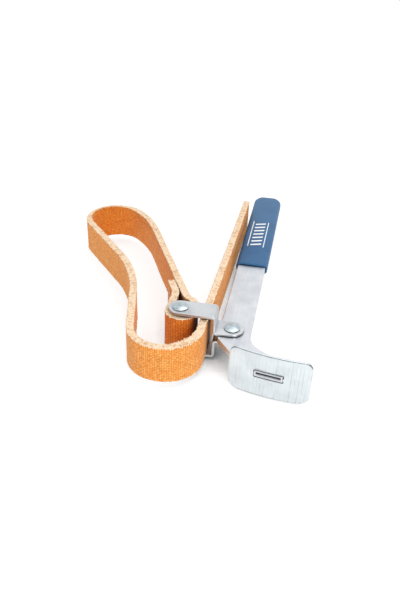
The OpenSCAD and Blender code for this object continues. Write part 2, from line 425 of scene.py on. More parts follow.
class Finish(Nodes):
    """A node material, with short calls for what the finishes share."""

    def __init__(self, name, **settings):
        self.material = bpy.data.materials.new(name)
        self.material.use_nodes = True
        super().__init__(self.material.node_tree)
        self.shader = self.tree.nodes["Principled BSDF"]
        for key, value in settings.items():
            self.set(key.replace("_", " "), value)

    def set(self, key, value):
        """Links or sets an input of the shader."""
        self.feed(self.shader.inputs[key], value)

    def place(self, stretch=(1, 1, 1)):
        """The object's own coordinates, in millimetres, times a stretch."""
        where = self.node("ShaderNodeTexCoord").outputs["Object"]
        scale = tuple(share / MM for share in stretch)
        return self.node("ShaderNodeMapping", {"Vector": where, "Scale": scale}).outputs[0]

    def stored(self, name, output="Fac"):
        """A number, or with output "Vector" a vector, that the mesh carries on its points."""
        return self.node("ShaderNodeAttribute", attribute_name=name).outputs[output]

    def noise(self, scale, detail=3.0, roughness=0.5, where=None):
        """Soft noise from 0 to 1; scale is in waves per millimetre."""
        inputs = {"Vector": where or self.place(), "Scale": scale, "Detail": detail,
                  "Roughness": roughness}
        return self.node("ShaderNodeTexNoise", inputs).outputs["Fac"]

    def plus(self, first, second, share):
        """The first value plus a share of the second."""
        return self.math("ADD", first, self.math("MULTIPLY", second, share))

    def mix(self, share, first, second, kind="MIX"):
        """Two colours mixed by a share, or combined as the kind says."""
        inputs = {"Factor": share, 6: first, 7: second}
        made = self.node("ShaderNodeMix", inputs, data_type="RGBA", blend_type=kind)
        return made.outputs[2]

    def openness(self, reach, low, high):
        """1 in the open and 0 in narrow gaps and crevices; reach is in millimetres."""
        inputs = {"Distance": reach * MM}
        share = self.node("ShaderNodeAmbientOcclusion", inputs, samples=12).outputs["AO"]
        return self.span(share, low, high)

    def softened(self, radius):
        """The surface's direction with its edges rounded off by a radius in millimetres."""
        return self.node("ShaderNodeBevel", {"Radius": radius * MM}, samples=6).outputs[0]

    def edge_highlight_share(self, radius=0.5):
        """1 along outer edges and 0 on flat faces, as a share for painted edge highlights."""
        plain = self.node("ShaderNodeNewGeometry").outputs["Normal"]
        return self.span(self.dot(self.softened(radius), plain), 0.995, 0.85)

    def upper_rim(self):
        """1 on rounded edges that look partly upwards."""
        rise = self.node("ShaderNodeSeparateXYZ", {0: self.softened(0.6)}).outputs["Z"]
        return self.math("MULTIPLY", self.span(rise, 0.12, 0.35), self.span(rise, 0.95, 0.75))

    def done(self, colour, roughness, height, depth, strength):
        """The material, with a bump from a height that is worth a depth in millimetres."""
        inputs = {"Height": height, "Distance": depth * MM, "Strength": strength}
        self.set("Base Color", colour)
        self.set("Roughness", roughness)
        self.set("Normal", self.node("ShaderNodeBump", inputs).outputs[0])
        return self.material


def zinc_steel(name, grain, light, dark, roughness, painted_dark_rim=False):
    """Zinc-plated steel with fine drawn lines along the axis where grain is small, its outer edges
    lit by a painted highlight and its crevices darkened by painted shade; for the shoe the upper
    rounded edges get a painted dark reflection in place of the highlight.
    """
    finish = Finish(name, Metallic=1.0)
    lines = finish.noise(1.0, 4.0, 0.6, finish.place(grain))
    cloud = finish.noise(0.09, 4.0)
    spangle = finish.noise(1.3, 2.0)
    scratch = finish.noise(1.0, 2.0, where=finish.place((2.2, 0.05, 2.2)))
    tone = finish.plus(finish.math("MULTIPLY", lines, 0.35), cloud, 0.65)
    colour = finish.mix(finish.span(tone, 0.35, 0.65), dark, light)
    colour = finish.mix(finish.span(scratch, 0.66, 0.70, 0.0, 0.25), colour, dark)
    if painted_dark_rim:
        # Painted dark reflection along the upper rounded edges, broken up by the spangle noise
        rim = finish.math("MULTIPLY", finish.upper_rim(), finish.span(spangle, 0.3, 0.6, 0.4, 1))
        colour = finish.mix(rim, colour, srgb(84, 92, 98))
        # Painted shade in the grooves and crevices
        colour = finish.mix(finish.openness(1.5, 0.2, 0.6), srgb(110, 118, 122), colour)
    else:
        # Painted highlight along the outer edges
        rim = finish.math("MULTIPLY", finish.edge_highlight_share(), 0.5)
        colour = finish.mix(rim, colour, srgb(246, 247, 250))
        # Painted shade in crevices and gaps
        colour = finish.mix(finish.openness(2.5, 0.35, 0.8), srgb(80, 86, 90), colour)
    gloss = finish.span(tone, 0.3, 0.7, roughness - 0.07, roughness + 0.08)
    return finish.done(colour, gloss, finish.plus(lines, spangle, 0.6), 0.012, 0.6)


def rivet_steel():
    """Bright zinc on cold-headed steel, with faint pits and painted shade in the crevices at its
    foot.
    """
    finish = Finish("rivet_steel", Metallic=1.0)
    cloud = finish.noise(0.35)
    colour = finish.mix(finish.span(cloud, 0.3, 0.7), srgb(174, 187, 193), srgb(206, 216, 222))
    # Painted shade in the crevices at the heads' foot
    colour = finish.mix(finish.openness(1.5, 0.45, 0.9), srgb(66, 74, 80), colour)
    gloss = finish.span(cloud, 0.3, 0.7, 0.26, 0.38)
    return finish.done(colour, gloss, finish.noise(1.1), 0.02, 0.35)


def blue_vinyl():
    """Dipped vinyl: satin blue, paler towards the closed end, with a faint grain."""
    finish = Finish("blue_vinyl", IOR=1.5, Specular_IOR_Level=0.3)
    cloud = finish.noise(0.06)
    dust = finish.noise(0.7, 5.0, 0.7)
    colour = finish.mix(finish.span(cloud, 0.35, 0.65), srgb(42, 88, 132), srgb(54, 101, 145))
    along = finish.node("ShaderNodeSeparateXYZ", {0: finish.place()}).outputs["Y"]
    colour = finish.mix(finish.span(along, -40, 75, 0.0, 0.5), colour, srgb(96, 134, 168))
    colour = finish.mix(finish.span(dust, 0.55, 0.8, 0.0, 0.25), colour, srgb(84, 126, 168))
    # Painted highlight: the rounded edges are lighter blue
    rim = finish.math("MULTIPLY", finish.edge_highlight_share(0.8), 0.35)
    colour = finish.mix(rim, colour, srgb(88, 130, 172))
    gloss = finish.span(dust, 0.3, 0.7, 0.42, 0.58)
    return finish.done(colour, gloss, finish.plus(finish.noise(2.6), cloud, 2.0), 0.03, 0.5)


def white_ink():
    """Screen-printed ink with small thin spots."""
    finish = Finish("white_ink", IOR=1.45)
    spots = finish.noise(3.0)
    colour = finish.mix(finish.span(spots, 0.32, 0.42), srgb(196, 212, 228), srgb(246, 248, 250))
    return finish.done(colour, finish.span(spots, 0.3, 0.7, 0.42, 0.6), spots, 0.01, 0.5)


def webbing():
    """Woven strap: orange yarns on the faces and cream cut yarns along the edges.

    The mesh carries "cream" (1 on a cut edge), "crown" (1 on top of a yarn), "yarn" (a random tone
    for each yarn float), a value for painted shade with orange bounce light (1 where it is
    strongest) and "along" (place along and across the strap, in millimetres).
    """
    finish = Finish("strap_webbing", IOR=1.4, Sheen_Weight=0.08, Sheen_Roughness=0.5)
    crown = finish.stored("crown")
    along = finish.stored("along", "Vector")
    cloud = finish.noise(0.12, where=along)
    fibre = finish.noise(5.0, 3.0, 0.6, along)
    speck = finish.noise(2.3, 4.0, 0.7, along)
    # Painted shade: the weave's valleys between the yarns are dark brown, the crests keep the
    # yarns' own orange
    valley_shade = finish.mix(cloud, srgb(132, 52, 6), srgb(164, 74, 16))
    crest = finish.mix(finish.stored("yarn"), srgb(236, 148, 58), srgb(254, 184, 98))
    face = finish.mix(finish.span(crown, 0.15, 0.8), valley_shade, crest)
    face = finish.mix(finish.span(speck, 0.58, 0.75, 0.0, 0.3), face, srgb(255, 206, 138))
    face = finish.mix(finish.span(cloud, 0.35, 0.7, 0.0, 0.22), face, srgb(220, 126, 34))
    # Painted shade with orange bounce light: darker, deeper orange inside the far bend and round
    # the eye
    face = finish.mix(finish.stored("bounce_shade"), face, BOUNCE_SHADE_TINT, "MULTIPLY")
    tuft = finish.mix(finish.span(speck, 0.3, 0.55), srgb(228, 194, 152), srgb(247, 224, 195))
    # Painted shade: the cut edge turns darker tan in its recesses, where the fibres lie low
    edge = finish.mix(finish.span(crown, 0.1, 0.55), srgb(206, 150, 98), tuft)
    colour = finish.mix(finish.stored("cream"), face, edge)
    # Painted shade: in narrow gaps and crevices the strap is painted dark brown
    shade = finish.mix(cloud, srgb(58, 20, 4), srgb(84, 34, 10))
    colour = finish.mix(finish.openness(16.0, 0.05, 0.4), shade, colour)
    gloss = finish.span(fibre, 0.3, 0.7, 0.68, 0.9)
    return finish.done(colour, gloss, finish.plus(fibre, speck, 0.7), 0.09, 0.7)


def thread():
    """Waxed sewing thread."""
    finish = Finish("stitching_thread", Sheen_Weight=0.2)
    ply = finish.noise(4.0, where=finish.place((1, 1, 0.4)))
    colour = finish.mix(finish.span(ply, 0.3, 0.7), srgb(214, 196, 164), srgb(246, 234, 208))
    return finish.done(colour, finish.span(ply, 0.3, 0.7, 0.55, 0.8), ply, 0.04, 0.6)


BAR_STEEL = zinc_steel("zinc_steel", (1.6, 0.04, 1.6), srgb(226, 228, 232),
                       srgb(204, 207, 212), 0.42)
LINK_STEEL = zinc_steel("zinc_sheet", (0.05, 1.5, 1.5), srgb(220, 222, 224),
                        srgb(192, 195, 198), 0.36)
SHOE_STEEL = zinc_steel("bright_zinc_sheet", (1.8, 1.8, 0.06), srgb(230, 236, 238),
                        srgb(210, 217, 220), 0.45, True)
SPACER_STEEL = zinc_steel("spacer_steel", (1.5, 1.5, 0.05), srgb(200, 202, 206),
                          srgb(160, 164, 170), 0.35)
RIVET_STEEL = rivet_steel()
BLUE_VINYL = blue_vinyl()
WHITE_INK = white_ink()
WEBBING = webbing()
THREAD = thread()

# --------------------------------------------------------------------------- handle and shoe


def on_shoe(points):
    """Plan points of the shoe's own axes, in the frame."""
    return turned(points, SHOE_TURN) + (SHOE_X, SHOE_Y) + PIVOT[:2]


def foot_points(start, end, count):
    """Points of the foot that bears on the back of the shoe, between two chord places."""
    radius = SHOE_R - SHOE_T - 0.05
    x = np.linspace(start, end, count)
    y = SHOE_R - SHOE_BULGE - np.sqrt(radius ** 2 - x ** 2)
    return on_shoe(np.column_stack([x, y])) - PIVOT[:2]


def handle_outline():
    """The bar, its foot and the tongue from above, from the pivot."""
    heel_at = -19.4
    toe_at = 17.1
    tongue = TONGUE_W / 2
    tip = on_shoe([(-tongue, -TONGUE_REACH), (tongue, -TONGUE_REACH)]) - PIVOT[:2]
    corners = [(BAR_LEFT, BAR_END, BAR_END_R), (BAR_LEFT, HEEL_Y, HEEL_R)]
    corners += extended(foot_points(heel_at, -tongue, 6), 0).tolist()
    corners += extended(tip, TONGUE_R).tolist()
    corners += extended(foot_points(tongue, toe_at, 6), 0).tolist()
    corners += [(FOOT_TOE_X, FOOT_TOE_Y, FOOT_TOE_R), (BAR_RIGHT, FLARE_CORNER_Y, FLARE_R)]
    corners += [(BAR_RIGHT, BAR_END, BAR_END_R)]
    return outline(corners)


def shoe_block(low, high, half_z, middle_z, radius):
    """A rounded block in the shoe's axes, from (x, y) low to high, for cutting."""
    shape = rectangle((low[0], middle_z - half_z), (high[0], middle_z + half_z), radius)
    rings = []
    for y in (low[1], high[1]):
        plan = on_shoe(extended(shape[:, 0], y))
        rings.append(np.column_stack([plan, shape[:, 1] + MID_Z]))
    return loft("cutter", rings, SHOE_STEEL)


def build_handle():
    """The flat bar with its flared foot and the tongue, which is split by a chisel's groove."""
    rings = plate_rings(handle_outline() + PIVOT[:2], MID_Z - BAR_T / 2, BAR_T, SHEAR_EDGE_R)
    bar = loft("handle_bar_plate", rings, BAR_STEEL)
    half = TONGUE_W / 2 - GROOVE_INSET
    carve(bar, shoe_block((-half, -TONGUE_REACH - 1), (half, -TONGUE_REACH + GROOVE_DEPTH),
                          half_z=0.75, middle_z=0.35, radius=0.3))
    stand_in(bar, "handle", "handle_bar")


def rib_grooves(x, z):
    """Depth of the face's grooves at a chord place and height."""
    wobble = value_noise(x / RIB_PITCH + 3.0, z / 5 + 40, random_table(11, 64, 64))
    beside = np.abs((x + 0.25 * (wobble - 0.5)) / RIB_PITCH)
    beside = np.abs(beside - np.round(beside)) * RIB_PITCH
    rib = RIB_DEPTH * (1 - smoothstep(0.03, 0.32, beside)) * (0.15 + 0.75 * wobble)
    # One scribed line above the slot
    line_z = 3.3 - 0.05 * x
    scribed = SCRIBE_DEPTH * (1 - smoothstep(0.1, 0.6, np.abs(z - line_z)))
    scribed = scribed * smoothstep(-13.5, -12.0, x) * (1 - smoothstep(8.0, 9.5, x))
    return np.maximum(rib, scribed)


def build_shoe():
    """The curved, ribbed sheet with a slot for the tongue."""
    edge = 0.45
    end = SHOE_W / 2
    rim = edge * (1 - np.cos(np.radians(np.linspace(10, 90, 5))))
    inner = np.linspace(-end + edge + 0.1, end - edge - 0.1, 250)
    rows = np.linspace(-1, 1, 61)
    profile = edge_profile(SHOE_T, edge)
    rings = []
    for x in np.concatenate([-end + rim, inner, (end - rim)[::-1]]):
        rounding = drawn_in(edge, end - abs(x))
        half = SHOE_H / 2 - drawn_in(SHOE_CORNER, end - abs(x))
        face_z = rows * (half - edge - EDGE_MARGIN)
        depth = rib_grooves(np.full_like(face_z, x), face_z)
        front = np.column_stack([face_z, np.maximum(rounding, depth)])
        turn_back = [(half - gap, height) for gap, height in profile[1:-1]]
        back = [(z, SHOE_T) for z in face_z[::-6]]
        turn_front = [(gap - half, height) for gap, height in profile[-2:0:-1]]
        section = np.concatenate([front, turn_back, back, turn_front])
        section[:, 1] = np.clip(section[:, 1], rounding, SHOE_T - rounding)
        angle = math.asin(x / SHOE_R)
        radius = SHOE_R - section[:, 1]
        plan = np.column_stack([radius * math.sin(angle),
                                SHOE_R - SHOE_BULGE - radius * math.cos(angle)])
        rings.append(np.column_stack([on_shoe(plan), section[:, 0] + MID_Z - SHOE_DROP]))
    shoe = loft("shoe_ribbed_plate", rings, SHOE_STEEL)
    half = TONGUE_W / 2 + SLOT_PLAY
    carve(shoe, shoe_block((-half, -SHOE_BULGE * 2), (half, SHOE_BULGE * 2),
                           half_z=BAR_T / 2 + SLOT_PLAY, middle_z=-SLOT_DROP, radius=0.7))
    shoe.data.shade_smooth()
    shoe.data.set_sharp_from_angle(angle=math.radians(40))
    stand_in(shoe, "handle", "shoe_plate")


# --------------------------------------------------------------------------- grip


def rounded_section(half_w, half_h, radius):
    """A rounded rectangle's outline about the origin, anticlockwise, as (x, z)."""
    points = []
    for quarter, (sx, sz) in enumerate(((1, 1), (-1, 1), (-1, -1), (1, -1))):
        centre = (sx * (half_w - radius), sz * (half_h - radius))
        points.append(arc(centre, radius, 90 * quarter, 90 * quarter + 90, 6))
    return np.concatenate(points)


def towards(end, radius, angles):
    """Places that crowd towards a rounded end, from angles round its edge in degrees."""
    return [end - radius * (1 - math.sin(math.radians(angle))) for angle in angles]


def grip_ring(section, y, swell=1.0):
    """A section of the grip at a place along it, a little swollen or shrunken."""
    return np.column_stack([GRIP_X + section[:, 0] * swell, np.full(len(section), y),
                            MID_Z + section[:, 1] * swell])


def build_grip():
    """The dipped vinyl sleeve: rounded all round, closed at one end, open at its mouth."""
    half_w, _, half_h = (GRIP_HIGH - GRIP_LOW) / 2
    mouth = GRIP_LOW[1]
    closed = GRIP_HIGH[1]
    edge_r = 3.0
    end_r = 10.0
    lip_r = 0.7
    lumps = random_table(21, 64, 64)
    stations = [mouth + lip_r * (1 - math.cos(math.radians(a))) for a in (15, 35, 60, 90)]
    stations += list(np.linspace(mouth + 2, closed - end_r, 60))
    stations += towards(closed, end_r, range(8, 84, 8)) + towards(closed, edge_r, (55, 70, 82))
    rings = []
    for y in sorted(set(stations)) + [closed]:
        lip = drawn_in(lip_r, y - mouth)
        wide = half_w - drawn_in(end_r, closed - y) - lip
        high = half_h - drawn_in(edge_r, closed - y) - lip
        section = rounded_section(wide, high, min(edge_r, high) - 0.02)
        around = np.arange(len(section)) * 0.7
        lump = value_noise(np.full(len(section), y / 9), around, lumps) - 0.5
        rings.append(grip_ring(section, y, 1 - 0.05 * np.abs(lump) / half_h))
    # The hollow, from its mouth to its closed end, which is rounded like the bar in it
    play = 0.12
    bar_half_w = (BAR_RIGHT - BAR_LEFT) / 2
    bar_end = PIVOT[1] + BAR_END
    spots = [(mouth, 0.55), (mouth + 0.35, 0.2), (mouth + 1.0, 0.0)]
    spots += [(y, 0.0) for y in towards(bar_end, BAR_END_R, (0, 20, 40, 60, 75, 90))]
    hollow = []
    for y, grow in spots:
        wide = bar_half_w - drawn_in(BAR_END_R, bar_end - y) + play + grow
        section = rounded_section(wide, BAR_T / 2 + play + grow, 0.5 + grow / 2)
        hollow.append(grip_ring(section, y))
    grip = loft("grip_sleeve_vinyl", hollow[::-1] + rings, BLUE_VINYL, 50)
    stand_in(grip, "handle", "grip_sleeve")


def build_grip_marks():
    """A plain printed mark on top of the grip: slanted bars between two thin rules."""
    ink = 0.06
    middle_x = GRIP_X - 0.8
    centre_y = GRIP_LOW[1] + 49.0
    half_w = 4.0
    outlines = [rectangle((x - 0.35, centre_y - 22), (x + 0.35, centre_y + 22), 0.3)
                for x in (middle_x - 6.0, middle_x + 6.0)]
    for bar in range(7):
        y = centre_y + (bar - 3) * 6.0
        outlines.append(outline([
            (middle_x - half_w, y - 2.6, 0.4), (middle_x + half_w, y + 0.2, 0.4),
            (middle_x + half_w, y + 2.4, 0.4), (middle_x - half_w, y - 0.4, 0.4)]))
    shapes = [loft_shape(plate_rings(points, GRIP_HIGH[2] - 0.04, ink, 0.015))
              for points in outlines]
    marks = make_object("grip_marks", *join_shapes(shapes), WHITE_INK)
    stand_in(marks, "handle")


# --------------------------------------------------------------------------- links and rivets


def on_link(points):
    """Points laid out along the link from the pivot, in the frame."""
    points = np.array(points, float)
    points[..., :2] = turned(points[..., :2], LINK_TURN)
    return points + PIVOT


def step_length(step):
    """Length of a straight (length, 0) or of a bend (radius, turn) of a path."""
    size, turn = step
    return size if turn == 0 else size * math.radians(abs(turn))


def steps_length(steps):
    """Length of several steps."""
    return sum(step_length(step) for step in steps)


def poses_from(pose, step, part):
    """x, y and heading in radians at distances into a step that starts at a pose."""
    x, y, heading = pose
    size, turn = step
    start = math.radians(heading)
    if turn == 0:
        along = [x + part * math.cos(start), y + part * math.sin(start), start + 0 * part]
    else:
        side = math.copysign(size, turn)
        end = start + part / side
        along = [x + side * (np.sin(end) - math.sin(start)),
                 y - side * (np.cos(end) - math.cos(start)), end]
    return np.stack(along, axis=-1)


def walk(pose, steps):
    """The pose (x, y, heading in degrees) at the end of some steps."""
    for step in steps:
        x, y, _ = poses_from(pose, step, step_length(step))
        pose = (x, y, pose[2] + step[1])
    return pose


def poses_at(pose, steps, distances):
    """x, y and heading in radians at each distance along a path."""
    found = np.zeros((len(distances), 3))
    reached = 0.0
    for step in steps:
        ahead = distances >= reached - 1e-9
        found[ahead] = poses_from(pose, step, distances[ahead] - reached)
        reached += step_length(step)
        pose = walk(pose, [step])
    return found


def build_link(name, node, side):
    """A joggled link: a round-ended strip bent up to the outer plate; side -1 is the lower."""
    end_r = LINK_W / 2
    radius = BEND_IN + LINK_T / 2
    steps = [(WEB_AT + end_r - radius, 0), (radius, -90), (PLATE_Z - TAB_Z - 2 * radius, 0),
             (radius, 90), (LINK_LEN - WEB_AT - radius + end_r, 0)]
    start = (end_r, TAB_Z + LINK_T / 2, 180)
    whole = steps_length(steps)
    stations = end_r * (1 - np.cos(np.radians(np.linspace(6, 90, 15))))
    stations = [*stations, *(whole - stations)]
    for bend in (1, 3):
        bend_start = steps_length(steps[:bend])
        stations += list(bend_start + np.linspace(0, step_length(steps[bend]), 9))
    stations = np.array(sorted(stations))
    rings = []
    for gap, height in edge_profile(LINK_T, 0.35):
        half = end_r - gap
        at = np.clip(stations, gap, whole - gap)
        from_end = np.minimum(at, whole - at)
        pull = np.clip(end_r - from_end, 0, half)
        wide = np.sqrt(np.maximum(half ** 2 - pull ** 2, 0))
        poses = poses_at(start, steps, np.array([gap, *at, whole - gap]))
        lift = height - LINK_T / 2
        x = poses[:, 0] + lift * np.sin(poses[:, 2])
        z = (poses[:, 1] - lift * np.cos(poses[:, 2])) * side
        upper = np.column_stack([x, [0, *wide, 0], z])
        lower = np.column_stack([x[1:-1], -wide, z[1:-1]])
        rings.append(np.concatenate([upper, lower[::-1]]))
    rings = np.asarray(rings)
    columns = rings.shape[1]
    tip = len(stations) + 1
    faces = loft_faces(len(rings), columns, caps=False)
    for first in (0, (len(rings) - 1) * columns):
        # Strips across the flat face, with a triangle at each tip
        fill = [(first, first + 1, first + columns - 1)]
        fill += [(first + k, first + k + 1, first + columns - k - 1, first + columns - k)
                 for k in range(1, tip - 1)]
        fill.append((first + tip - 1, first + tip, first + tip + 1))
        faces += [face[::-1] for face in fill] if first else fill
    link = make_object(name, on_link(rings.reshape(-1, 3)), faces, LINK_STEEL, 35)
    stand_in(link, "link", node)


def lathe(profile, centre, rough=0.0):
    """Rings round a vertical axis on the link, from (radius, height) pairs."""
    columns = 72
    table = random_table(31, 32, 32)
    angles = np.linspace(0, 2 * math.pi, columns, endpoint=False)
    rings = []
    for radius, height in profile:
        lump = value_noise(np.full(columns, radius * 1.1), angles * 16 / math.pi, table) - 0.5
        reach = max(radius, 0.02)
        rings.append(np.column_stack([
            centre + reach * np.cos(angles), reach * np.sin(angles),
            height + lump * rough * math.copysign(1, height)]))
    return on_link(rings)


def head_profile(base, dome_share=1.0, top=1):
    """(radius, height) pairs of a rivet head standing on a height, from its foot to its top."""
    rim = HEAD_H / 4
    dome = (HEAD_H - rim) * dome_share
    head_r = HEAD_D / 2
    dome_r = (head_r ** 2 + dome ** 2) / (2 * dome)
    pairs = [(head_r - 0.35, base), (head_r - 0.08, base + 0.1), (head_r, base + rim),
             (head_r - 0.12, base + rim + 0.14)]
    for radius in np.linspace(head_r - 0.35, 0.0, 12):
        sag = dome_r - math.sqrt(dome_r ** 2 - radius ** 2)
        pairs.append((radius, base + rim + dome - sag))
    return [(radius, height * top) for radius, height in pairs]


def build_rivet(name, node, at, reach, rough):
    """A rivet: a shank with a domed head at each end; the upper head may be hammered rough."""
    upper = head_profile(reach, 0.8 if rough else 1.0)
    lower = head_profile(reach, 1.0, -1)
    shank = [(SHANK_D / 2, -reach), (SHANK_D / 2, reach)]
    rivet = loft(name, lathe(lower[::-1] + shank + upper, at, rough), RIVET_STEEL, 35)
    stand_in(rivet, "link", node)


def build_spacer():
    """The tube on the strap pin, with broken edges."""
    top = PLATE_Z - 0.02
    outer = SPACER_D / 2
    bore = SHANK_D / 2 + 0.05
    edge = 0.3
    lower = [(bore, -top + edge), (bore + edge, -top), (outer - edge, -top),
             (outer, -top + edge)]
    upper = [(radius, -height) for radius, height in reversed(lower)]
    rings = lathe(lower + upper, -LINK_LEN)
    # The first ring again closes the tube's section; its faces are led back to the start
    faces = loft_faces(len(rings) + 1, rings.shape[1], caps=False)
    points = rings.reshape(-1, 3)
    faces = [tuple(index % len(points) for index in face) for face in faces]
    spacer = make_object("pin_spacer_tube", points, faces, SPACER_STEEL, 35)
    stand_in(spacer, "link", "pin_spacer")


# --------------------------------------------------------------------------- strap

# The path, as straights (length, 0) and bends (radius, turn): tail, eye, run, loop, free end
FREE_LENGTH = 170.0
FREE_LEAN = (60.0, -1.0)
TAIL_START = (-EYE_R, 0.0, 90.0)
TAIL_STEPS = [(16.4, 0), (22, 26), (10, 0)]
TAIL_BACK = [(size, -turn) for size, turn in reversed(TAIL_STEPS)]
RUN_STEPS = [(8.83, 0), (7.4, 58), (14.4, -32), (92.8, 0), (90, 23), (21, 86)]
FAR_STEPS = [(21, 86), (29, 0)]
SIDE_STEPS = [(22.5, 0), (112, -28), (39, 0), (21.5, 77)]
FRONT_STEPS = [(21.5, 90), (22.2, 0)]
FREE_STEPS = [FREE_LEAN, (FREE_LENGTH - step_length(FREE_LEAN), 0)]
STRAP_STEPS = [*TAIL_BACK, (EYE_R, 180), *RUN_STEPS, *FAR_STEPS, *SIDE_STEPS, *FRONT_STEPS,
               *FREE_STEPS]

# Distances along the path to where its parts start
TO_RUN = steps_length(TAIL_BACK) + EYE_R * math.pi
TO_FAR = TO_RUN + steps_length(RUN_STEPS)
TO_SIDE = TO_FAR + steps_length(FAR_STEPS)
TO_FRONT = TO_SIDE + steps_length(SIDE_STEPS)
TO_FREE = TO_FRONT + steps_length(FRONT_STEPS)
STRAP_LENGTH = steps_length(STRAP_STEPS)

# The mesh: rings along the strap, a whole number of them to each pick, and columns round it
PICK_ABOUT = 1.28
PICKS = round(STRAP_LENGTH / PICK_ABOUT)
PICK = STRAP_LENGTH / PICKS
RINGS_PER_PICK = 4
WARP_ENDS = 19
COLUMNS_PER_END = 4
EDGE_CELLS = 10
CORNER_CELLS = 2
TALL = WARP_ENDS * COLUMNS_PER_END + 2 * CORNER_CELLS
THICK = EDGE_CELLS + 2 * CORNER_CELLS
CORNER_R = 0.62

# The weave and the cut edges
WEAVE_DEPTH = 0.17
EDGE_DEPTH = 0.3
TUFT_DEPTH = 0.42
FRINGE_DEPTH = 1.0
FRINGE_SPAN = 13.0
FRINGE_AT = TO_FREE - 36.0
# How far along the strap the painted bounce shade of the far bend reaches, in millimetres
BOUNCE_SHADE_SPAN = 36.0
DRAWN_SPAN = 28.0
EDGE_WHOLE = 4.4
EDGE_DRAWN = 4.0
FIBRES_PER_PICK = 3.2
END_FIBRES = 260


def strap_columns():
    """The strap's cross-section, as columns that run along it.

    Each column is (offset, height, outward offset, outward height, distance in from the
    cut edge's corner, corner number). The offset is to the left of the path, which is the
    inside of the loop. The first column is the middle of the outer lower corner.
    """
    columns = []
    for side in range(4):
        on_face = side % 2 == 0
        angle = math.radians(180 - 90 * side)
        out = np.array([math.cos(angle), math.sin(angle)])
        go = np.array([out[1], -out[0]])
        size = (STRAP_T / 2, STRAP_W / 2) if on_face else (STRAP_W / 2, STRAP_T / 2)
        half = size[1] - CORNER_R
        cells = WARP_ENDS * COLUMNS_PER_END if on_face else EDGE_CELLS
        sign = 1 if on_face else -1

        def corner_column(step, end):
            """A column of a rounded corner, at the side's start (-1) or its end (1)."""
            lean = math.radians(45 * (1 - step / CORNER_CELLS))
            normal = out * math.cos(lean) + end * go * math.sin(lean)
            centre = out * (size[0] - CORNER_R) + end * go * half
            inward = sign * CORNER_R * (math.pi / 4 - lean)
            corner = (side + max(end, 0)) % 4
            return (*(centre + normal * CORNER_R), *normal, inward, corner)

        columns += [corner_column(step, -1) for step in range(CORNER_CELLS)]
        for cell in range(cells + 1):
            along = -half + 2 * half * cell / cells
            inward = sign * (CORNER_R * math.pi / 4 + half - abs(along))
            corner = side if along < 0 else side + 1
            columns.append((*(out * size[0] + go * along), *out, inward, corner % 4))
        columns += [corner_column(step, 1) for step in range(CORNER_CELLS - 1, 0, -1)]
    return np.array(columns)


def weave(pick_at, end_at):
    """Height of a plain weave, 0 to 1, and which yarn float is on top, from yarn counts."""
    pick_wave = np.sin(math.pi * pick_at) * np.where(np.floor(end_at) % 2 == 0, 1, -1)
    end_wave = -np.sin(math.pi * end_at) * np.where(np.floor(pick_at) % 2 == 0, 1, -1)
    across_end = end_at - np.floor(end_at) - 0.5
    across_pick = pick_at - np.floor(pick_at) - 0.5
    warp = 0.46 * pick_wave + 0.62 * np.sqrt(1 - (across_end * 1.9) ** 2)
    weft = 0.40 * end_wave + 0.46 * np.sqrt(1 - (across_pick * 1.9) ** 2)
    top = np.maximum(warp, weft)
    return np.clip(top, 0, 1.05), warp > weft


def bell(distance, reach):
    """1 at a distance of 0, falling smoothly to both sides."""
    return np.exp(-(distance / reach) ** 2)


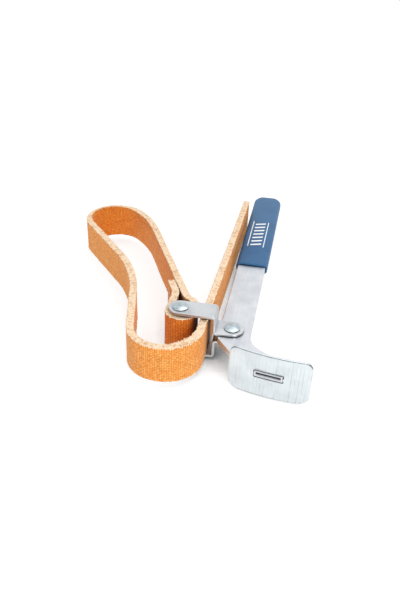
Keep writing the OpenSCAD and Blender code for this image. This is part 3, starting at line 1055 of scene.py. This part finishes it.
def build_fields():
    """Displacement and stored values for every ring and column of the whole strap."""
    columns = strap_columns()
    offset, height, out_offset, _, inward, corner = columns.T[:, None, :]
    corner = corner.astype(int)
    on_inside = offset > 0
    shape = (PICKS * RINGS_PER_PICK + 1, len(columns))
    pick_at = (np.arange(shape[0]) / RINGS_PER_PICK)[:, None]
    place = pick_at * PICK
    end_at = (height + STRAP_W / 2 - CORNER_R) * WARP_ENDS / (STRAP_W - 2 * CORNER_R)
    end_at = np.clip(end_at, 0, WARP_ENDS - 1e-6) + np.where(on_inside, 1, 0)
    woven, warp_up = weave(np.broadcast_to(pick_at, shape), np.broadcast_to(end_at, shape))
    around = np.arange(shape[1])[None, :]
    grit = value_noise(pick_at * 2.1, around * 0.5, random_table(41, 997, 97))
    coarse = value_noise(pick_at * 0.9, around * 0.21, random_table(42, 499, 61))
    fluff = 0.55 * grit + 0.45 * coarse

    # Tufts: each pick ends in a tooth of its own size on each of the four corners
    beat = np.floor(pick_at).astype(int)
    tuft_size = random_table(43, PICKS + 2, 4)[beat, corner]
    tooth = np.sin(math.pi * (pick_at - beat)) ** 2 * (0.25 + tuft_size)
    flare = tooth * bell(inward - 0.15, 0.5)
    on_edge = 1 - smoothstep(0.1, 0.9, inward)
    rise = WEAVE_DEPTH * (woven - 0.55) * (1 - on_edge)
    rise = rise + EDGE_DEPTH * (fluff - 0.45) * on_edge + TUFT_DEPTH * (flare - 0.15)

    # A frayed stretch of the inner edge, where the loop turns to the window
    bunch = bell(place - FRINGE_AT, FRINGE_SPAN) * on_inside
    bunch = bunch * (0.55 + tooth) * bell(np.maximum(inward, 0), 2.2)
    rise = rise + FRINGE_DEPTH * bunch * np.abs(out_offset)
    reach = 0.7 * tooth * (0.3 + tuft_size) + 0.3 * (coarse - 0.45)
    cream = 1 - smoothstep(-0.12, 0.16, inward - reach)

    # In the far bend the face's yarns are drawn over the inner side of the cut edge
    drawn = EDGE_WHOLE - EDGE_DRAWN * bell(place - TO_FAR, DRAWN_SPAN)
    cream = cream * (1 - smoothstep(drawn - 0.5, drawn + 0.5, offset + fluff))
    crown = np.where(inward > 0.4, woven * (0.75 + 0.5 * (grit - 0.2)), fluff + 0.35 * flare)

    # Painted shade with orange bounce light: the orange is darkest and deepest inside the far bend
    # and round the outside of the eye
    bounce_shade = bell(place - TO_FAR, BOUNCE_SHADE_SPAN) * on_inside
    bounce_shade = bounce_shade + bell(place - TO_RUN + EYE_R * 1.57, 16.0) * ~on_inside
    float_tone = random_table(44, 1201, 47)
    rows, ends = float_tone.shape
    yarn = float_tone[beat % rows, (np.floor(end_at).astype(int) * 2 + warp_up) % ends]
    slow = value_noise(pick_at / 11, np.broadcast_to(height > 0, inward.shape) * 7.0,
                       random_table(45, 97, 13))
    wander = 0.5 * (slow - 0.5) * np.abs(height) / (STRAP_W / 2)
    return {
        "columns": columns, "rise": rise, "cream": cream, "yarn": yarn, "bounce_shade": bounce_shade,
        "crown": np.clip(crown, 0, 1), "wander": wander * np.sign(height),
    }


FIELDS = build_fields()


def strap_point(pose, offset, height):
    """A point of the strap from a pose of its path: offset to the left, height from its middle."""
    x = pose[..., 0] - offset * np.sin(pose[..., 2])
    y = pose[..., 1] + offset * np.cos(pose[..., 2])
    z = np.broadcast_to(height, x.shape)
    return np.stack([x + PIN[0], y + PIN[1], z + MID_Z], axis=-1)


def strap_start():
    """The pose of the tail's cut end, looking back to the eye."""
    x, y, heading = walk(TAIL_START, TAIL_STEPS)
    return (x, y, heading + 180)


def strap_poses(rings):
    """x, y and heading of the strap's path at some rings."""
    return poses_at(strap_start(), STRAP_STEPS, np.asarray(rings) * PICK / RINGS_PER_PICK)


def directions(angle):
    """Unit vectors ahead and to the left, for a heading in radians."""
    ahead = np.array([math.cos(angle), math.sin(angle), 0])
    return ahead, np.array([-ahead[1], ahead[0], 0])


def ring_points(first, last):
    """Points of the strap's rings from first to last, as rings by columns by 3."""
    columns = FIELDS["columns"]
    rings = np.arange(first, last + 1)
    poses = strap_poses(rings)[:, None, :]
    rise = FIELDS["rise"][rings]
    offset = columns[None, :, 0] + columns[None, :, 2] * rise
    height = columns[None, :, 1] + columns[None, :, 3] * rise + FIELDS["wander"][rings]
    return strap_point(np.broadcast_to(poses, offset.shape + (3,)), offset, height)


def cap_points(ring, ahead, rough, seed):
    """Inner points of a cut end, filled in from its ring: heights by offsets by 3."""
    outer = ring[:TALL + 1]
    upper = ring[TALL:TALL + THICK + 1]
    inner = ring[TALL + THICK:2 * TALL + THICK + 1][::-1]
    lower = np.concatenate([ring[2 * TALL + THICK:], ring[:1]])[::-1]
    v = np.linspace(0, 1, TALL + 1)[1:-1, None, None]
    u = np.linspace(0, 1, THICK + 1)[None, 1:-1, None]
    points = (1 - u) * outer[1:-1, None] + u * inner[1:-1, None]
    points = points + (1 - v) * lower[None, 1:-1] + v * upper[None, 1:-1]
    points = points - (1 - u) * (1 - v) * ring[0] - u * v * upper[-1]
    points = points - (1 - u) * v * ring[TALL] - u * (1 - v) * lower[-1]
    lumps = value_noise(v[..., 0] * 40, u[..., 0] * 7, random_table(seed, 97, 31))
    return points + (lumps[..., None] - 0.35) * rough * ahead


def cap_faces(ring_first, count, inner_first):
    """Faces of a cut end, between its ring and its inner points."""
    def index(v, u):
        if u == 0:
            return ring_first + v
        if v == TALL:
            return ring_first + TALL + u
        if u == THICK:
            return ring_first + 2 * TALL + THICK - v
        if v == 0:
            return ring_first + (count - u)
        return inner_first + (v - 1) * (THICK - 1) + u - 1
    return [(index(v, u), index(v, u + 1), index(v + 1, u + 1), index(v + 1, u))
            for v in range(TALL) for u in range(THICK)]


def fibre_shape(root, direction, bend, length, radius):
    """A loose fibre: a thin three-sided spike that curves from its root to a point."""
    side = np.cross(direction, bend)
    side /= np.linalg.norm(side) + 1e-9
    up = np.cross(side, direction)
    points = []
    for share in (0.0, 0.4, 0.75, 1.0):
        centre = root + direction * length * share + bend * length * 0.6 * share ** 2
        width = radius * (1 - 0.8 * share)
        for angle in np.radians((0, 120, 240)):
            points.append(centre + width * (side * math.cos(angle) + up * math.sin(angle)))
    return points, loft_faces(4, 3)


def loose_fibres(first, last, seed):
    """Fibres that stand out of the cut edges between two rings."""
    draw = np.random.RandomState(seed)
    columns = FIELDS["columns"]
    edge_columns = np.flatnonzero(columns[:, 4] < 0.35)
    weight = bell(columns[edge_columns, 4] - 0.1, 0.8)
    weight /= weight.sum()
    shapes = []
    for _ in range(int((last - first) / RINGS_PER_PICK * FIBRES_PER_PICK)):
        ring = draw.randint(first, last + 1)
        column = draw.choice(edge_columns, p=weight)
        pose = strap_poses([ring])[0]
        offset, height, out_offset, out_height = columns[column, :4]
        root = strap_point(pose, offset - 0.15 * out_offset, height - 0.15 * out_height)
        ahead, left = directions(pose[2])
        outward = left * out_offset + np.array([0, 0, out_height])
        direction = unit(outward + ahead * draw.normal(0, 0.6) + left * draw.normal(0, 0.25))
        bend = unit(draw.normal(0, 1, 3))
        length = 0.35 + 0.75 * draw.rand() ** 3
        shapes.append(fibre_shape(root, direction, bend, length, 0.045 + 0.05 * draw.rand()))
    return shapes


def end_fibres(ring, sense, seed):
    """Longer fibres that stand out of a cut end of the strap."""
    draw = np.random.RandomState(seed)
    shapes = []
    pose = strap_poses([ring])[0]
    ahead = directions(pose[2])[0] * sense
    for _ in range(END_FIBRES):
        offset = draw.uniform(-0.5, 0.5) * (STRAP_T - 0.4)
        height = draw.uniform(-0.5, 0.5) * (STRAP_W - 0.6)
        root = strap_point(pose, offset, height) - ahead * 0.3
        direction = unit(ahead + draw.normal(0, 0.3, 3))
        bend = unit(draw.normal(0, 1, 3))
        length = 0.6 + 1.1 * draw.rand() ** 2
        shapes.append(fibre_shape(root, direction, bend, length, 0.06 + 0.07 * draw.rand()))
    return shapes


def store(mesh, name, kind, values):
    """Stores numbers or vectors on a mesh's points, for its material to read."""
    attribute = mesh.attributes.new(name, kind, "POINT")
    key = "value" if kind == "FLOAT" else "vector"
    attribute.data.foreach_set(key, np.ascontiguousarray(values, np.float32).ravel())


def build_band(name, first, last, seed, cut_start=False, cut_end=False):
    """One length of the strap between two rings, with its loose fibres."""
    columns = FIELDS["columns"]
    count = len(columns)
    rings = ring_points(first, last)
    body = rings.reshape(-1, 3)
    caps = []
    for ring, sense, cut, pose in zip((0, -1), (-1, 1), (cut_start, cut_end),
                                      strap_poses([first, last])):
        ahead = sense * directions(pose[2])[0]
        caps.append(cap_points(rings[ring], ahead, 0.9 if cut else 0.0, seed + 7))
    start_cap, end_cap = (cap.reshape(-1, 3) for cap in caps)
    points = np.concatenate([body, start_cap, end_cap])
    faces = loft_faces(len(rings), count, caps=False)
    faces += cap_faces(0, count, len(body))
    last_cap = cap_faces(len(body) - count, count, len(body) + len(start_cap))
    faces += [face[::-1] for face in last_cap]
    shapes = [(points, faces)] + loose_fibres(first, last, seed)
    if cut_start:
        shapes += end_fibres(first, -1, seed + 1)
    if cut_end:
        shapes += end_fibres(last, 1, seed + 2)
    all_points, all_faces = join_shapes(shapes)
    band = make_object(name, all_points, all_faces, WEBBING, 75)

    # The caps and fibres are cream throughout, each with a random crown
    added = len(all_points) - len(body)
    fibres = len(all_points) - len(points)
    spread = np.concatenate([
        np.random.RandomState(seed + 3).rand(added - fibres) * 0.6 + 0.4,
        np.random.RandomState(seed + 4).rand(fibres) * 0.3 + 0.7])
    rows = slice(first, last + 1)
    for field in ("cream", "crown", "yarn", "bounce_shade"):
        tail = spread if field == "crown" else np.ones(added)
        store(band.data, field, "FLOAT", np.concatenate([FIELDS[field][rows].ravel(), tail]))
    at = np.arange(first, last + 1)[:, None] * PICK / RINGS_PER_PICK
    across = np.where(columns[None, :, 0] > 0, 60.0, 0.0) + columns[None, :, 1]
    along = np.stack(np.broadcast_arrays(at, across, columns[None, :, 0]), axis=-1)
    rest = np.asarray(all_points)[len(body):] - PIN
    store(band.data, "along", "FLOAT_VECTOR", np.concatenate([along.reshape(-1, 3), rest]))
    return band


def ring_at(distance):
    """The ring nearest to a distance along the strap, on the crown of a pick."""
    pick = math.floor(distance / PICK)
    return pick * RINGS_PER_PICK + RINGS_PER_PICK // 2


def bend_over(piece):
    """Bakes a piece's placement into its mesh."""
    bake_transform(piece)


def build_strap():
    """The strap in lengths whose seams lie where one body alone carries it."""
    seams = [TO_RUN + 84, TO_SIDE - 14.5, TO_SIDE + 50, TO_FREE - 11, TO_FREE + 13]
    seams = [0] + [ring_at(seam) for seam in seams] + [PICKS * RINGS_PER_PICK]

    eye = build_band("strap_eye_band", seams[0], seams[1], 100, cut_start=True)
    stand_in(eye, "strap_eye", "strap_eye_length")

    # From the run to its middle this bend turns past a right angle.
    far = build_band("strap_far_band", seams[1], seams[2], 200)
    bend_over(far)
    stand_in(far, node="strap_far_length")

    side = build_band("strap_side_band", seams[2], seams[3], 300)
    bend_over(side)
    stand_in(side, node="strap_side_length")

    front = build_band("strap_front_band", seams[3], seams[4], 400)
    bend_over(front)
    stand_in(front, node="strap_front_length")

    window = build_band("strap_window_band", seams[4], seams[5], 500)
    bend_over(window)
    stand_in(window)

    free = build_band("strap_free_band", seams[5], seams[6], 600, cut_end=True)
    stand_in(free, "strap_free", "strap_free_length")


def stitch_rings(start, face, out, forward, left):
    """One stitch of twisted thread: it leaves the strap at start and dips in a pitch higher."""
    thread_r = 0.36
    rings = []
    for share in np.linspace(0, 1, 25):
        arch = math.sin(math.pi * share) ** 0.45
        rise = 0.25 + share * (STITCH_PITCH - 0.5)
        centre = start + left * (face + out * (arch * 1.15 - 0.9)) + np.array([0, 0, rise])
        angles = np.linspace(0, 2 * math.pi, 18, endpoint=False)
        lobes = thread_r * (1 + 0.13 * np.cos(3 * (angles + share * 9)))
        rings.append(centre + lobes[:, None] * (
            np.cos(angles)[:, None] * forward + np.sin(angles)[:, None] * left))
    return rings


def build_stitching():
    """Two rows of stitches through the tail and the run, as twisted thread on both sides."""
    count = 5
    apart = 5.2
    x, y, heading = walk(TAIL_START, TAIL_STEPS[:2])
    forward, left = directions(math.radians(heading))
    shapes = []
    for row in (3.0, 7.0):
        for stitch in range(count - 1):
            low = (stitch - (count - 1) / 2) * STITCH_PITCH
            start = PIN + (x, y, low) + forward * row
            for face, out in ((STRAP_T / 2, 1), (-apart - STRAP_T / 2, -1)):
                shapes.append(loft_shape(stitch_rings(start, face, out, forward, left)))
    stitching = make_object("eye_stitching_thread", *join_shapes(shapes), THREAD, 60)
    stand_in(stitching, "strap_eye", "eye_stitching")


# --------------------------------------------------------------------------- stage

BRIGHT_SIDE = (0.1, 0.80, 0.59)
ROOM_DIM = 0.3
ROOM_BRIGHT = 0.98
KEY_POWER = 8.0
TOP_POWER = 3.0
FILL_POWER = 2.4
FLOOR_GLOW = 0.8
FLOOR_DROP = 0.0003
GAP_REACH = 26.0


def build_floor():
    """A plain pale floor just under the lowest point of the wrench; it glows, and its glow is cut
    in narrow gaps as painted shadow.
    """
    finish = Finish("floor", Roughness=0.9, Specular_IOR_Level=0.1)
    finish.set("Base Color", (0.3, 0.3, 0.3, 1))
    finish.set("Emission Color", (1, 1, 1, 1))
    # Painted shadow: the floor's glow fades in narrow gaps beside and under the wrench
    glow = finish.openness(GAP_REACH, 0.32, 0.43)
    finish.set("Emission Strength", finish.math("MULTIPLY", glow, FLOOR_GLOW))
    mesh = bpy.data.meshes.new("floor")
    half = 6.0
    z = cad_box[0][2] - FLOOR_DROP
    corners = [(-half, -half, z), (half, -half, z), (half, half, z), (-half, half, z)]
    mesh.from_pydata(corners, [], [(0, 1, 2, 3)])
    mesh.materials.append(finish.material)
    floor = bpy.data.objects.new("floor", mesh)
    bpy.context.scene.collection.objects.link(floor)


def add_light(name, place, target, size, power):
    """A soft square lamp that points at a target; place and target in metres."""
    lamp = bpy.data.lights.new(name, "AREA")
    lamp.shape = "SQUARE"
    lamp.size = size
    lamp.energy = power
    light = bpy.data.objects.new(name, lamp)
    light.location = place
    light.rotation_euler = (Vector(target) - Vector(place)).to_track_quat("-Z", "Y").to_euler()
    bpy.context.scene.collection.objects.link(light)


def build_world():
    """A room brightest high at the back, where the steel mirrors it, and white to the camera."""
    world = bpy.data.worlds.new("studio")
    world.use_nodes = True
    nodes = Nodes(world.node_tree)
    facing = nodes.dot(nodes.node("ShaderNodeTexCoord").outputs["Generated"], BRIGHT_SIDE)
    bright = nodes.span(facing, 0.2, 0.95, ROOM_DIM, ROOM_BRIGHT, "SMOOTHSTEP")
    seen = nodes.node("ShaderNodeLightPath").outputs["Is Camera Ray"]
    background = world.node_tree.nodes["Background"]
    background.inputs["Color"].default_value = (0.98, 0.99, 1.0, 1)
    nodes.feed(background.inputs["Strength"], nodes.math("MAXIMUM", bright, seen))
    bpy.context.scene.world = world


def build_lights():
    """A low key lamp at the front right, one overhead and a fill at the front left."""
    target = (-0.03, -0.09, 0.0)
    add_light("key", (0.5, -0.98, 0.46), target, 0.7, KEY_POWER)
    add_light("top", (0.25, 0.2, 1.0), target, 0.8, TOP_POWER)
    add_light("fill", (-0.75, -0.5, 0.6), target, 0.7, FILL_POWER)
    bpy.context.scene.view_settings.view_transform = "Standard"
    bpy.context.scene.view_settings.look = "None"


def build_camera():
    """A camera out in front of the shoe and above it, looking back along the bar."""
    target = Vector((-0.0293, -0.1099, 0.0))
    distance = 0.434
    azimuth = math.radians(9.62)
    elevation = math.radians(33.26)
    roll = math.radians(2.44)
    forward = Vector((-math.sin(azimuth) * math.cos(elevation),
                      math.cos(azimuth) * math.cos(elevation), -math.sin(elevation)))
    level = Vector((math.cos(azimuth), math.sin(azimuth), 0))
    upright = level.cross(forward)
    right = level * math.cos(roll) + upright * math.sin(roll)
    up = upright * math.cos(roll) - level * math.sin(roll)
    lens = bpy.data.cameras.new("camera")
    lens.lens = 38.0
    lens.sensor_width = 36.0
    lens.shift_y = 0.0037
    lens.clip_start = 0.01
    camera = bpy.data.objects.new("camera", lens)
    turn = Matrix((right, up, -forward)).transposed().to_4x4()
    camera.matrix_world = Matrix.Translation(target - forward * distance) @ turn
    bpy.context.scene.collection.objects.link(camera)
    bpy.context.scene.camera = camera


build_handle()
build_shoe()
build_grip()
build_grip_marks()
build_link("upper_link_plate", "upper_link", 1)
build_link("lower_link_plate", "lower_link", -1)
build_rivet("pivot_rivet_body", "pivot_rivet", 0.0, TAB_Z + LINK_T, 0.05)
build_rivet("strap_pin_body", "strap_pin", -LINK_LEN, PLATE_Z + LINK_T, 0.0)
build_spacer()
build_strap()
build_stitching()
build_floor()
build_world()
build_lights()
build_camera()
